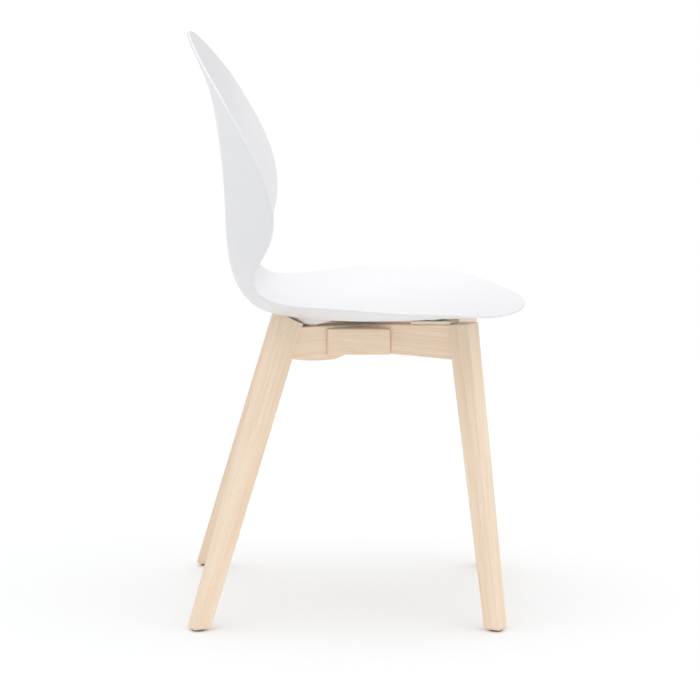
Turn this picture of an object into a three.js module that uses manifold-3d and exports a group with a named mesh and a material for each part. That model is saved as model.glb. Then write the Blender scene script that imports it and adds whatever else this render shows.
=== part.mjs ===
// Dining chair: one moulded seat-and-back shell on a wooden base of two crossed beams and four splayed legs.
// Millimetres, +Z up. The chair faces -Y, is symmetric about X = 0 and stands on Z = 0.
// "right" is the sitter's right hand, on the -X side.
import * as THREE from 'three';
import { mergeVertices } from 'three/addons/utils/BufferGeometryUtils.js';
import Module from 'manifold-3d';

const wasm = await Module();
wasm.setup();

// ---------------------------------------------------------------- driving dimensions
const FIT_GAP = 0.3; // clearance left between touching pieces

const SHELL_THICKNESS = 4.5;
const SHELL_RINGS = 15;
const SHELL_SPOKES = 60;
const RIM_ROUND_STEPS = 2; // rows that round each half of the rim

// Stations of the shell from the front lip (along 0) to the top of the back (along 1).
// spine: y and z on the centre line. rim: y and z of the edge at that station, and its half width.
const SHELL_STATIONS = [
  { along: 0.05, spine: [-206, 443], rim: [-206, 447.5], half: 154 },
  { along: 0.115, spine: [-155, 439], rim: [-156, 456.5], half: 215 },
  { along: 0.2, spine: [-88, 432.5], rim: [-88, 461], half: 234 },
  { along: 0.295, spine: [-8, 427], rim: [-6, 464], half: 221 },
  { along: 0.375, spine: [60, 427], rim: [63, 462], half: 177 },
  { along: 0.445, spine: [116, 433], rim: [112, 463.5], half: 147 },
  { along: 0.49, spine: [147, 443], rim: [136, 471.5], half: 132 },
  { along: 0.53, spine: [169, 464.5], rim: [149, 485.5], half: 125 },
  { along: 0.575, spine: [183, 496], rim: [149, 508], half: 127 },
  { along: 0.625, spine: [189.5, 538], rim: [132.5, 542], half: 154 },
  { along: 0.7, spine: [192.5, 597], rim: [121.5, 597.5], half: 199 },
  { along: 0.78, spine: [197.5, 664], rim: [137.5, 663], half: 216 },
  { along: 0.86, spine: [207, 730], rim: [172, 729], half: 212 },
  { along: 0.92, spine: [218.5, 778], rim: [203, 780], half: 176 },
  { along: 0.955, spine: [230.5, 808], rim: [223, 809], half: 132 },
];
// The two ends of the centre line, with the width and cupping that the rim tends to there.
const SHELL_LIP = { spine: [-246, 443], spread: 368, cup: [0, 20] };
const SHELL_TOP = { spine: [246, 842.5], spread: 315, cup: [-45, 0] };
const RIM_FLARE = 0.25; // share of the upward cupping that comes late, close to the rim

const CROSS_Y = -3; // where the two beams cross under the seat
const BEAM_SPREAD = 0.58; // sideways run of a beam for each millimetre it runs fore and aft
const BEAM_THICKNESS = 30;
const EDGE_ROUNDING = 2; // radius on the long edges of the beams and blocks
const EDGE_STEPS = 3;
const LAP_LEVEL = 392; // height at which the two halves of the cross-lap meet
const LAP_CUT_WIDTH = 120; // more than the width of either beam
const BELOW_BEAM = 340; // heights clear of the beams, where their cutters start and end
const ABOVE_BEAM = 440;
const LAP_SCREW = { radius: 2.5, headRadius: 5, headHeight: 3, length: 30 };
// Heights of a beam's top at its front end, at the crossing and at its rear end.
const BEAM_TOP_LINE = { frontY: -155, frontZ: 425.8, centreZ: 413, rearY: 104, rearZ: 417.5 };
// Its bottom is level in front, dips to a belly behind the crossing and rises again to the rear leg.
const BEAM_BOTTOM = { front: 373.3, levelToY: 6, belly: 364, bellyY: 47, rear: 370.5 };

const FRONT_TOP = new THREE.Vector3(88, -155, 425.8);
const FRONT_FOOT = new THREE.Vector3(240, -201, 0);
const REAR_TOP = new THREE.Vector3(60, 101, 425);
const REAR_FOOT = new THREE.Vector3(238, 229.5, 0);
const LEG_TOP_SIZE = 35; // side of the square leg section at the top
const LEG_FOOT_SIZE = 25.5; // and at the floor
const LEG_CORNER_RADIUS = 3;
const LEG_OVERRUN = 20; // extra length at each end of a leg before it is cut to its joint
const CUT_REACH = 160; // side of the box that trims a leg's end

const BLOCK_HALF_LENGTH = 46.5;
const BLOCK_END_DEPTH = 4;
const BLOCK_CORNER_RADIUS = 2.5;
const BLOCK_BOTTOM = 372.7;
const BLOCK_TOP = 411.4;

const GLIDE_THICKNESS = 2.2;
const GLIDE_RADIUS = 8.5;
const NAIL_RADIUS = 1.2;
const NAIL_LENGTH = 18;

const DOWEL_RADIUS = 5;
const DOWEL_LENGTH = 36;
const DOWEL_HEIGHTS = [383, 403];
const BLOCK_DOWEL_RADIUS = 4;
const BLOCK_DOWEL_LENGTH = 26;
const BLOCK_DOWEL_IN_BLOCK = 11; // length of it that sits in the block
const BLOCK_DOWEL_RUN = 36; // distance along the beam from the crossing

const FRONT_FIXING_Y = -115;
const REAR_FIXING_Y = 67;
const SCREW_RADIUS = 3;
const SCREW_HEAD_RADIUS = 6;
const SCREW_HEAD_HEIGHT = 3.6;
const HEX_SOCKET_RADIUS = 2.3;
const PAD_HOLE_CLEARANCE = 0.8;
const WASHER_RADIUS = 8;
const WASHER_THICKNESS = 1.6;
const COUNTERBORE_RADIUS = 9;
const COUNTERBORE_DEPTH = 9;
const INSERT_RADIUS = 4.6;
const INSERT_LENGTH = 8;

const FRONT_PAD = { length: 66, width: 30, thickness: 4.5, corner: 1.5 };
const REAR_PAD = { length: 22, width: 22, thickness: 2, corner: 10.9 };
const FRONT_BOSS = { flat: 12, reach: 24 };
const REAR_BOSS = { flat: 12, reach: 42 };
const BOSS_CLEARANCE = 0.5; // daylight between a boss and its pad
const BOSS_OVERLAP = 0.2; // share of the wall that a boss grows into

// ---------------------------------------------------------------- materials
function shellPlastic() {
  return new THREE.MeshStandardMaterial({ color: 0xf4f4f5, roughness: 0.5, metalness: 0 });
}
function bleachedWood() {
  return new THREE.MeshStandardMaterial({ color: 0xe6d0b2, roughness: 0.6, metalness: 0 });
}
function dowelWood() {
  return new THREE.MeshStandardMaterial({ color: 0xd9b98c, roughness: 0.7, metalness: 0 });
}
function padPlastic() {
  return new THREE.MeshStandardMaterial({ color: 0xf6ead2, roughness: 0.55, metalness: 0 });
}
function glidePlastic() {
  return new THREE.MeshStandardMaterial({ color: 0x958775, roughness: 0.5, metalness: 0 });
}
function zincSteel() {
  return new THREE.MeshStandardMaterial({ color: 0xb4b6b8, roughness: 0.35, metalness: 1 });
}
function brass() {
  return new THREE.MeshStandardMaterial({ color: 0xc9a75a, roughness: 0.35, metalness: 1 });
}

// ---------------------------------------------------------------- solids
function solidOf(geometry) {
  const bare = new THREE.BufferGeometry();
  bare.setAttribute('position', geometry.getAttribute('position').clone());
  if (geometry.index) bare.setIndex(geometry.index.clone());
  const merged = mergeVertices(bare, 1e-4);
  return new wasm.Manifold(new wasm.Mesh({
    numProp: 3,
    vertProperties: new Float32Array(merged.getAttribute('position').array),
    triVerts: new Uint32Array(merged.index.array),
  }));
}

function geometryOf(solid) {
  const mesh = solid.getMesh();
  const geometry = new THREE.BufferGeometry();
  geometry.setAttribute('position', new THREE.BufferAttribute(new Float32Array(mesh.vertProperties), 3));
  geometry.setIndex(new THREE.BufferAttribute(new Uint32Array(mesh.triVerts), 1));
  return geometry;
}

function placed(geometry, matrix) {
  return geometry.clone().applyMatrix4(matrix);
}

function cutFrom(geometry, ...cutters) {
  let solid = solidOf(geometry);
  for (const cutter of cutters) solid = solid.subtract(solidOf(cutter));
  return geometryOf(solid);
}

function named(name, geometry, material) {
  const mesh = new THREE.Mesh(geometry, material);
  mesh.name = name;
  return mesh;
}

// A frame at a point whose +Z lies along a direction and whose X lies as near as it can to a hint.
function frameAt(point, direction, hint = new THREE.Vector3(1, 0, 0)) {
  const z = direction.clone().normalize();
  const x = hint.clone().addScaledVector(z, -hint.dot(z)).normalize();
  const y = new THREE.Vector3().crossVectors(z, x);
  return new THREE.Matrix4().makeBasis(x, y, z).setPosition(point);
}

function roundedRectangle(width, depth, radius) {
  const [w, d] = [width / 2, depth / 2];
  const shape = new THREE.Shape();
  shape.moveTo(-w + radius, -d);
  shape.lineTo(w - radius, -d);
  shape.absarc(w - radius, -d + radius, radius, -Math.PI / 2, 0);
  shape.lineTo(w, d - radius);
  shape.absarc(w - radius, d - radius, radius, 0, Math.PI / 2);
  shape.lineTo(-w + radius, d);
  shape.absarc(-w + radius, d - radius, radius, Math.PI / 2, Math.PI);
  shape.lineTo(-w, -d + radius);
  shape.absarc(-w + radius, -d + radius, radius, Math.PI, Math.PI * 1.5);
  return shape;
}

// An outline extruded from height 0 to a depth, with its edges rounded inside that outline.
function roundedExtrude(shape, depth, curveSegments) {
  const geometry = new THREE.ExtrudeGeometry(shape, {
    depth: depth - EDGE_ROUNDING * 2,
    curveSegments,
    bevelThickness: EDGE_ROUNDING,
    bevelSize: EDGE_ROUNDING,
    bevelOffset: -EDGE_ROUNDING,
    bevelSegments: EDGE_STEPS,
  });
  geometry.translate(0, 0, EDGE_ROUNDING);
  return geometry;
}

// A solid cylinder with its base at the origin and its axis along +Z.
function rod(radius, length, sides = 16) {
  const geometry = new THREE.CylinderGeometry(radius, radius, length, sides);
  geometry.rotateX(Math.PI / 2);
  geometry.translate(0, 0, length / 2);
  return geometry;
}

// ---------------------------------------------------------------- shell surface
function crownOf(along) {
  return 2 * Math.sqrt(along * (1 - along));
}

// Each station as plain numbers: spine y and z, lateral spread, and cupping y and z at full spread.
function stationValues(station) {
  const crown = crownOf(station.along);
  const cup = [0, 1].map((k) => (station.rim[k] - station.spine[k]) / crown ** 2);
  return [...station.spine, station.half / crown, ...cup];
}

const shellKnots = [0, ...SHELL_STATIONS.map((station) => station.along), 1];
const shellValues = [
  [...SHELL_LIP.spine, SHELL_LIP.spread, ...SHELL_LIP.cup],
  ...SHELL_STATIONS.map(stationValues),
  [...SHELL_TOP.spine, SHELL_TOP.spread, ...SHELL_TOP.cup],
];

function knotSlope(index, channel) {
  const low = Math.max(index - 1, 0);
  const high = Math.min(index + 1, shellKnots.length - 1);
  return (shellValues[high][channel] - shellValues[low][channel]) / (shellKnots[high] - shellKnots[low]);
}

// Cubic Hermite interpolation of one channel of the stations.
function shellChannel(along, channel) {
  let index = 0;
  while (index < shellKnots.length - 2 && along > shellKnots[index + 1]) index += 1;
  const span = shellKnots[index + 1] - shellKnots[index];
  const u = (along - shellKnots[index]) / span;
  const [a, b] = [shellValues[index][channel], shellValues[index + 1][channel]];
  const [da, db] = [knotSlope(index, channel) * span, knotSlope(index + 1, channel) * span];
  const [u2, u3] = [u * u, u * u * u];
  return a * (2 * u3 - 3 * u2 + 1) + da * (u3 - 2 * u2 + u) + b * (3 * u2 - 2 * u3) + db * (u3 - u2);
}

// The middle of the shell wall. across runs from -crownOf(along) to +crownOf(along).
function shellPoint(along, across) {
  const [y, z, spread, cupY, cupZ] = [0, 1, 2, 3, 4].map((channel) => shellChannel(along, channel));
  const reach = Math.min((across / Math.max(crownOf(along), 1e-3)) ** 2, 1);
  const lift = cupZ * across ** 2 * (1 - RIM_FLARE + RIM_FLARE * reach);
  return new THREE.Vector3(spread * across, y + cupY * across ** 2, z + lift);
}

// The wall seen as a disc: ring 0 is its middle and ring 1 its rim.
function discPoint(ring, angle) {
  const along = THREE.MathUtils.clamp(0.5 - 0.5 * ring * Math.cos(angle), 0, 1);
  return shellPoint(along, ring * Math.sin(angle));
}

function discNormal(ring, angle) {
  const step = 0.004;
  const inner = Math.max(Math.min(ring, 0.992), step * 2);
  const radial = discPoint(inner + step, angle).sub(discPoint(inner - step, angle));
  const turning = discPoint(inner, angle + step).sub(discPoint(inner, angle - step));
  return new THREE.Vector3().crossVectors(turning, radial).normalize();
}

// Direction that points out of the rim, in the wall's surface.
function rimOutward(angle) {
  const step = 0.004;
  const normal = discNormal(1, angle);
  const edge = discPoint(1, angle + step).sub(discPoint(1, angle - step)).normalize();
  return new THREE.Vector3().crossVectors(normal, edge).normalize();
}

function shellSolid() {
  const half = SHELL_THICKNESS / 2;
  const vertices = [];
  const triangles = [];
  const middle = discPoint(0, 0);
  const middleNormal = discNormal(0, Math.PI / 2);
  const rows = [];
  const addRow = (pointAt) => {
    const row = [];
    for (let spoke = 0; spoke < SHELL_SPOKES; spoke += 1) {
      row.push(vertices.length / 3);
      vertices.push(...pointAt((spoke / SHELL_SPOKES) * Math.PI * 2).toArray());
    }
    rows.push(row);
  };
  const faceRow = (ring, side) => {
    addRow((angle) => discPoint(ring, angle).addScaledVector(discNormal(ring, angle), side * half));
  };
  const rimRow = (turn) => {
    addRow((angle) => discPoint(1, angle)
      .addScaledVector(discNormal(1, angle), half * Math.cos(turn))
      .addScaledVector(rimOutward(angle), half * Math.sin(turn)));
  };
  const first = vertices.length / 3;
  vertices.push(...middle.clone().addScaledVector(middleNormal, half).toArray());
  for (let ring = 1; ring <= SHELL_RINGS; ring += 1) faceRow(ring / SHELL_RINGS, 1);
  const rimSteps = RIM_ROUND_STEPS * 2;
  for (let step = 1; step < rimSteps; step += 1) rimRow((Math.PI * step) / rimSteps);
  for (let ring = SHELL_RINGS; ring >= 1; ring -= 1) faceRow(ring / SHELL_RINGS, -1);
  const last = vertices.length / 3;
  vertices.push(...middle.clone().addScaledVector(middleNormal, -half).toArray());
  for (let spoke = 0; spoke < SHELL_SPOKES; spoke += 1) {
    const next = (spoke + 1) % SHELL_SPOKES;
    triangles.push(first, rows[0][next], rows[0][spoke]);
    for (let row = 0; row < rows.length - 1; row += 1) {
      const [a, b] = [rows[row][spoke], rows[row][next]];
      const [c, d] = [rows[row + 1][spoke], rows[row + 1][next]];
      triangles.push(a, d, c, a, b, d);
    }
    triangles.push(last, rows.at(-1)[spoke], rows.at(-1)[next]);
  }
  const geometry = new THREE.BufferGeometry();
  geometry.setAttribute('position', new THREE.Float32BufferAttribute(vertices, 3));
  geometry.setIndex(triangles);
  return geometry;
}

// Height of the middle of the wall over a point of the seat.
function seatHeight(x, y) {
  let [low, high] = [0, 0.47];
  for (let step = 0; step < 40; step += 1) {
    const along = (low + high) / 2;
    const across = x / shellChannel(along, 2);
    if (shellPoint(along, across).y < y) low = along;
    else high = along;
  }
  return shellPoint(low, x / shellChannel(low, 2)).z;
}

// A boss moulded under the seat: flat at a height, then flaring smoothly into the wall.
function bossSolid(centre, bottom, { flat, reach }) {
  const [rings, spokes] = [7, 28];
  const vertices = [];
  const triangles = [];
  const surface = (ring, spoke) => {
    const radius = (ring / rings) * reach;
    const angle = (spoke / spokes) * Math.PI * 2;
    return [centre.x + radius * Math.cos(angle), centre.y + radius * Math.sin(angle), radius];
  };
  const upper = (x, y) => seatHeight(x, y);
  const lower = (x, y, radius) => {
    const wall = seatHeight(x, y) - SHELL_THICKNESS * (0.5 - BOSS_OVERLAP);
    const blend = THREE.MathUtils.smoothstep(radius, flat, reach);
    return bottom + (wall - bottom) * blend;
  };
  vertices.push(centre.x, centre.y, upper(centre.x, centre.y));
  vertices.push(centre.x, centre.y, bottom);
  for (let ring = 1; ring <= rings; ring += 1) {
    for (let spoke = 0; spoke < spokes; spoke += 1) {
      const [x, y, radius] = surface(ring, spoke);
      vertices.push(x, y, upper(x, y), x, y, lower(x, y, radius));
    }
  }
  const index = (ring, spoke, side) => 2 + ((ring - 1) * spokes + (spoke % spokes)) * 2 + side;
  for (let spoke = 0; spoke < spokes; spoke += 1) {
    triangles.push(0, index(1, spoke, 0), index(1, spoke + 1, 0));
    triangles.push(1, index(1, spoke + 1, 1), index(1, spoke, 1));
    for (let ring = 1; ring < rings; ring += 1) {
      const [a, b] = [index(ring, spoke, 0), index(ring, spoke + 1, 0)];
      const [c, d] = [index(ring + 1, spoke, 0), index(ring + 1, spoke + 1, 0)];
      triangles.push(a, c, d, a, d, b);
      triangles.push(a + 1, d + 1, c + 1, a + 1, b + 1, d + 1);
    }
    const [p, q] = [index(rings, spoke, 0), index(rings, spoke + 1, 0)];
    triangles.push(p, p + 1, q + 1, p, q + 1, q);
  }
  const geometry = new THREE.BufferGeometry();
  geometry.setAttribute('position', new THREE.Float32BufferAttribute(vertices, 3));
  geometry.setIndex(triangles);
  return geometry;
}

// ---------------------------------------------------------------- base
// Each corner of the base: side is -1 on the sitter's right, end is 'front' or 'rear'.
const corners = ['front', 'rear'].flatMap((end) => [-1, 1].map((side) => ({
  end,
  side,
  name: `${end}_${side < 0 ? 'right' : 'left'}`,
  top: mirrored(end === 'front' ? FRONT_TOP : REAR_TOP, side),
  foot: mirrored(end === 'front' ? FRONT_FOOT : REAR_FOOT, side),
})));

function mirrored(point, side) {
  return new THREE.Vector3(point.x * side, point.y, point.z);
}

// Horizontal direction in which a beam runs outward to a corner.
function beamDirection({ end, side }) {
  return new THREE.Vector3(BEAM_SPREAD * side, end === 'front' ? -1 : 1, 0).normalize();
}

const beamLengthFactor = Math.hypot(1, BEAM_SPREAD);

function beamTopHeight(y) {
  const { frontY, frontZ, centreZ, rearY, rearZ } = BEAM_TOP_LINE;
  const reach = (y - CROSS_Y) / (y < CROSS_Y ? frontY - CROSS_Y : rearY - CROSS_Y);
  return centreZ + ((y < CROSS_Y ? frontZ : rearZ) - centreZ) * reach;
}

function beamOutline() {
  const along = (y) => (y - CROSS_Y) * beamLengthFactor;
  const { front, levelToY, belly, bellyY, rear } = BEAM_BOTTOM;
  const shape = new THREE.Shape();
  const [frontEnd, levelEnd] = [along(FRONT_TOP.y) - EDGE_ROUNDING, along(levelToY)];
  const [low, rearEnd] = [along(bellyY), along(REAR_TOP.y) + EDGE_ROUNDING];
  shape.moveTo(frontEnd, front);
  shape.lineTo(levelEnd, front);
  shape.bezierCurveTo((levelEnd + low) / 2, front, (levelEnd + low) / 2, belly, low, belly);
  shape.quadraticCurveTo((low + rearEnd) / 2, belly, rearEnd, rear);
  shape.lineTo(rearEnd, beamTopHeight(REAR_TOP.y));
  shape.lineTo(0, BEAM_TOP_LINE.centreZ);
  shape.lineTo(frontEnd, beamTopHeight(FRONT_TOP.y));
  return shape;
}

// The whole beam before its joints are cut. side is where its front end is.
function rawBeam(side) {
  const geometry = roundedExtrude(beamOutline(), BEAM_THICKNESS, 8);
  geometry.translate(0, 0, -BEAM_THICKNESS / 2);
  const rearward = beamDirection({ end: 'front', side }).negate();
  const up = new THREE.Vector3(0, 0, 1);
  const across = new THREE.Vector3().crossVectors(rearward, up);
  const matrix = new THREE.Matrix4().makeBasis(rearward, up, across);
  matrix.setPosition(0, CROSS_Y, 0);
  return placed(geometry, matrix);
}

// Half of the crossing: a block over or under the lap level that one beam gives up to the other.
function lapCutter(side, upper) {
  const depth = ABOVE_BEAM - BELOW_BEAM;
  const geometry = new THREE.BoxGeometry(BEAM_THICKNESS + FIT_GAP * 2, LAP_CUT_WIDTH, depth);
  const level = LAP_LEVEL + (upper ? -FIT_GAP / 2 : FIT_GAP / 2);
  const centre = new THREE.Vector3(0, CROSS_Y, level + (upper ? depth / 2 : -depth / 2));
  const other = beamDirection({ end: 'front', side: -side });
  const sideways = new THREE.Vector3(other.y, -other.x, 0);
  return placed(geometry, frameAt(centre, new THREE.Vector3(0, 0, 1), sideways));
}

function legAxis(corner) {
  return corner.top.clone().sub(corner.foot).normalize();
}

function legFrame(corner) {
  return frameAt(corner.foot, legAxis(corner), beamDirection(corner));
}

// The leg tapers evenly from top to foot. grow widens it, to cut the seat of its joint in a beam.
function rawLeg(corner, grow = 0) {
  const length = corner.top.distanceTo(corner.foot);
  const shape = roundedRectangle(LEG_TOP_SIZE, LEG_TOP_SIZE, LEG_CORNER_RADIUS);
  const geometry = new THREE.ExtrudeGeometry(shape, {
    depth: length + LEG_OVERRUN * 2, bevelEnabled: false, curveSegments: 3,
  });
  geometry.translate(0, 0, -LEG_OVERRUN);
  const position = geometry.getAttribute('position');
  for (let i = 0; i < position.count; i += 1) {
    const share = position.getZ(i) / length;
    const size = LEG_FOOT_SIZE + (LEG_TOP_SIZE - LEG_FOOT_SIZE) * share + grow * 2;
    position.setX(i, (position.getX(i) * size) / LEG_TOP_SIZE);
    position.setY(i, (position.getY(i) * size) / LEG_TOP_SIZE);
  }
  return placed(geometry, legFrame(corner));
}

// Everything on the far side of a plane, as a large box.
function beyond(point, normal) {
  const geometry = new THREE.BoxGeometry(CUT_REACH, CUT_REACH, CUT_REACH);
  geometry.translate(0, 0, CUT_REACH / 2);
  return placed(geometry, frameAt(point, normal, new THREE.Vector3(0.3, 1, 0)));
}

// A front leg ends flush with the top of its beam; a rear leg is cut square to its own length.
function legTopNormal(corner) {
  if (corner.end === 'rear') return legAxis(corner);
  const rise = (BEAM_TOP_LINE.frontZ - BEAM_TOP_LINE.centreZ) / (CROSS_Y - BEAM_TOP_LINE.frontY);
  const outward = beamDirection(corner);
  return new THREE.Vector3(0, 0, 1).addScaledVector(outward, -rise / beamLengthFactor).normalize();
}

// Dowels from a leg into its beam, midway between the leg's axis and the middle of the beam.
function dowelFrames(corner) {
  const outward = beamDirection(corner);
  return DOWEL_HEIGHTS.map((height) => {
    const onAxis = corner.foot.clone().lerp(corner.top, height / corner.top.z);
    const inBeam = new THREE.Vector3(0, CROSS_Y, height);
    inBeam.addScaledVector(outward, onAxis.clone().sub(inBeam).dot(outward));
    const start = onAxis.lerp(inBeam, 0.5);
    return frameAt(start.addScaledVector(outward, -(LEG_TOP_SIZE + DOWEL_LENGTH) / 2), outward);
  });
}

function hole(radius, length, frame, gap = FIT_GAP) {
  const geometry = rod(radius + gap, length + gap * 2);
  geometry.translate(0, 0, -gap);
  return placed(geometry, frame);
}

function fixingPoint(corner) {
  const y = corner.end === 'front' ? FRONT_FIXING_Y : REAR_FIXING_Y;
  return new THREE.Vector3(Math.abs(y - CROSS_Y) * BEAM_SPREAD * corner.side, y, 0);
}

function padOf(corner) {
  return corner.end === 'front' ? FRONT_PAD : REAR_PAD;
}

// The pad lies on the sloping top of its beam.
function padFrame(corner) {
  const point = fixingPoint(corner);
  const outward = beamDirection(corner);
  const { frontY, frontZ, centreZ, rearY, rearZ } = BEAM_TOP_LINE;
  const front = corner.end === 'front';
  const rise = (front ? frontZ - centreZ : rearZ - centreZ) / Math.abs((front ? frontY : rearY) - CROSS_Y);
  const normal = new THREE.Vector3(0, 0, 1).addScaledVector(outward, -rise / beamLengthFactor).normalize();
  point.z = beamTopHeight(point.y) + FIT_GAP;
  return frameAt(point, normal, outward);
}

function counterboreTop(corner) {
  return (corner.end === 'front' ? BEAM_BOTTOM.front : BEAM_BOTTOM.belly) + COUNTERBORE_DEPTH;
}

function bossBottom(corner) {
  return beamTopHeight(fixingPoint(corner).y) + padOf(corner).thickness + FIT_GAP * 2 + BOSS_CLEARANCE;
}

function screwHole(corner, radius, from, to) {
  const point = fixingPoint(corner);
  point.z = from;
  return placed(rod(radius, to - from), new THREE.Matrix4().setPosition(point));
}

function cornerAt(end, side) {
  return corners.find((corner) => corner.end === end && corner.side === side);
}

function blockOutline() {
  const face = BLOCK_HALF_LENGTH * BEAM_SPREAD + (BEAM_THICKNESS / 2) * beamLengthFactor + FIT_GAP;
  const apex = (BEAM_THICKNESS / 2) * beamLengthFactor + FIT_GAP * 1.2;
  const shape = new THREE.Shape();
  const outer = face + BLOCK_END_DEPTH;
  const round = BLOCK_CORNER_RADIUS;
  shape.moveTo(apex, 0);
  shape.lineTo(face, -BLOCK_HALF_LENGTH);
  shape.lineTo(outer - round, -BLOCK_HALF_LENGTH);
  shape.absarc(outer - round, -BLOCK_HALF_LENGTH + round, round, -Math.PI / 2, 0);
  shape.lineTo(outer, BLOCK_HALF_LENGTH - round);
  shape.absarc(outer - round, BLOCK_HALF_LENGTH - round, round, 0, Math.PI / 2);
  shape.lineTo(face, BLOCK_HALF_LENGTH);
  return shape;
}

// Dowels from a corner block into the beam behind it, square to the beam's face.
function blockDowelFrames(side) {
  const height = (BLOCK_BOTTOM + BLOCK_TOP) / 2;
  return ['front', 'rear'].map((end) => {
    const outward = beamDirection({ end, side });
    const inward = new THREE.Vector3(
      -Math.abs(outward.y) * side, Math.abs(outward.x) * Math.sign(outward.y), 0);
    const seat = new THREE.Vector3(0, CROSS_Y, height).addScaledVector(outward, BLOCK_DOWEL_RUN);
    seat.addScaledVector(inward, -BEAM_THICKNESS / 2);
    return frameAt(seat.addScaledVector(inward, -BLOCK_DOWEL_IN_BLOCK), inward);
  });
}

function legGeometry(corner) {
  const floor = beyond(new THREE.Vector3(corner.foot.x, corner.foot.y, GLIDE_THICKNESS + FIT_GAP),
    new THREE.Vector3(0, 0, -1));
  const above = beyond(corner.top, legTopNormal(corner));
  const dowels = dowelFrames(corner).map((frame) => hole(DOWEL_RADIUS, DOWEL_LENGTH, frame));
  return cutFrom(rawLeg(corner), floor, above, ...dowels, nailCutter(corner));
}

function nailCutter(corner) {
  const start = new THREE.Vector3(corner.foot.x, corner.foot.y, 0);
  const hollow = rod(NAIL_RADIUS + FIT_GAP, NAIL_LENGTH + FIT_GAP * 2, 10);
  return placed(hollow, new THREE.Matrix4().setPosition(start));
}

function beamGeometry(side) {
  const ends = [cornerAt('front', side), cornerAt('rear', -side)];
  const cutters = [lapCutter(side, side > 0)];
  for (const corner of ends) {
    cutters.push(rawLeg(corner, FIT_GAP));
    cutters.push(...dowelFrames(corner).map((frame) => hole(DOWEL_RADIUS, DOWEL_LENGTH, frame)));
    cutters.push(screwHole(corner, SCREW_RADIUS + FIT_GAP, BELOW_BEAM, ABOVE_BEAM));
    cutters.push(screwHole(corner, COUNTERBORE_RADIUS, BELOW_BEAM, counterboreTop(corner)));
  }
  for (const blockSide of [-1, 1]) {
    cutters.push(...blockDowelFrames(blockSide).map((frame) => (
      hole(BLOCK_DOWEL_RADIUS, BLOCK_DOWEL_LENGTH, frame))));
  }
  cutters.push(lapScrewHole());
  return cutFrom(rawBeam(side), ...cutters);
}

function lapScrewHole() {
  const below = 2;
  const shank = rod(LAP_SCREW.radius + FIT_GAP, LAP_SCREW.length + FIT_GAP);
  const head = rod(LAP_SCREW.headRadius + FIT_GAP, LAP_SCREW.headHeight + FIT_GAP + below);
  head.translate(0, 0, -below);
  const matrix = new THREE.Matrix4().setPosition(0, CROSS_Y, BEAM_BOTTOM.front);
  return geometryOf(solidOf(placed(shank, matrix)).add(solidOf(placed(head, matrix))));
}

function blockGeometry(side) {
  const geometry = roundedExtrude(blockOutline(), BLOCK_TOP - BLOCK_BOTTOM, 4);
  if (side < 0) geometry.rotateZ(Math.PI);
  geometry.translate(0, CROSS_Y, BLOCK_BOTTOM);
  const dowels = blockDowelFrames(side).map((frame) => hole(BLOCK_DOWEL_RADIUS, BLOCK_DOWEL_LENGTH, frame));
  return cutFrom(geometry, ...dowels);
}

function shellGeometry() {
  let solid = solidOf(shellSolid());
  for (const corner of corners) {
    const size = corner.end === 'front' ? FRONT_BOSS : REAR_BOSS;
    const boss = bossSolid(fixingPoint(corner), bossBottom(corner), size);
    solid = solid.add(solidOf(boss));
  }
  for (const corner of corners) {
    const from = bossBottom(corner) - 1;
    const bore = screwHole(corner, INSERT_RADIUS + FIT_GAP, from, insertTop(corner) + FIT_GAP);
    solid = solid.subtract(solidOf(bore));
  }
  return geometryOf(solid);
}

function insertLength(corner) {
  const point = fixingPoint(corner);
  const room = seatHeight(point.x, point.y) - bossBottom(corner);
  return Math.min(INSERT_LENGTH, room);
}

function insertTop(corner) {
  return bossBottom(corner) + insertLength(corner);
}

// ---------------------------------------------------------------- hardware
function padGeometry(corner) {
  const { length, width, thickness, corner: radius } = padOf(corner);
  const shape = roundedRectangle(length, width, radius);
  const screw = new THREE.Path();
  screw.absarc(0, 0, SCREW_RADIUS + PAD_HOLE_CLEARANCE, 0, Math.PI * 2, true);
  shape.holes.push(screw);
  return new THREE.ExtrudeGeometry(shape, { depth: thickness, bevelEnabled: false, curveSegments: 5 });
}

// A button-head screw, head down: the head's underside rests at height 0 and the shank points up.
function buttonScrew(radius, headRadius, headHeight, length) {
  const profile = new THREE.Path();
  profile.moveTo(0, -headHeight);
  profile.lineTo(headRadius * 0.45, -headHeight);
  profile.quadraticCurveTo(headRadius * 0.95, -headHeight * 0.85, headRadius, 0);
  profile.lineTo(radius, 0);
  profile.lineTo(radius, length - radius * 0.5);
  profile.lineTo(radius * 0.6, length);
  profile.lineTo(0, length);
  const turned = new THREE.LatheGeometry(profile.getPoints(4), 16);
  turned.rotateX(Math.PI / 2);
  const socket = rod(HEX_SOCKET_RADIUS, headHeight * 0.6, 6);
  socket.translate(0, 0, -headHeight - 0.1);
  return cutFrom(turned, socket);
}

function ringGeometry(innerRadius, outerRadius, thickness) {
  const shape = new THREE.Shape();
  shape.absarc(0, 0, outerRadius, 0, Math.PI * 2);
  const bore = new THREE.Path();
  bore.absarc(0, 0, innerRadius, 0, Math.PI * 2, true);
  shape.holes.push(bore);
  return new THREE.ExtrudeGeometry(shape, { depth: thickness, bevelEnabled: false, curveSegments: 9 });
}

function dowelGeometry(radius, length) {
  const chamfer = 1;
  const profile = [[0, 0], [radius - chamfer, 0], [radius, chamfer], [radius, length - chamfer],
    [radius - chamfer, length], [0, length]];
  const turned = new THREE.LatheGeometry(profile.map(([r, z]) => new THREE.Vector2(r, z)), 14);
  turned.rotateX(Math.PI / 2);
  return turned;
}

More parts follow.
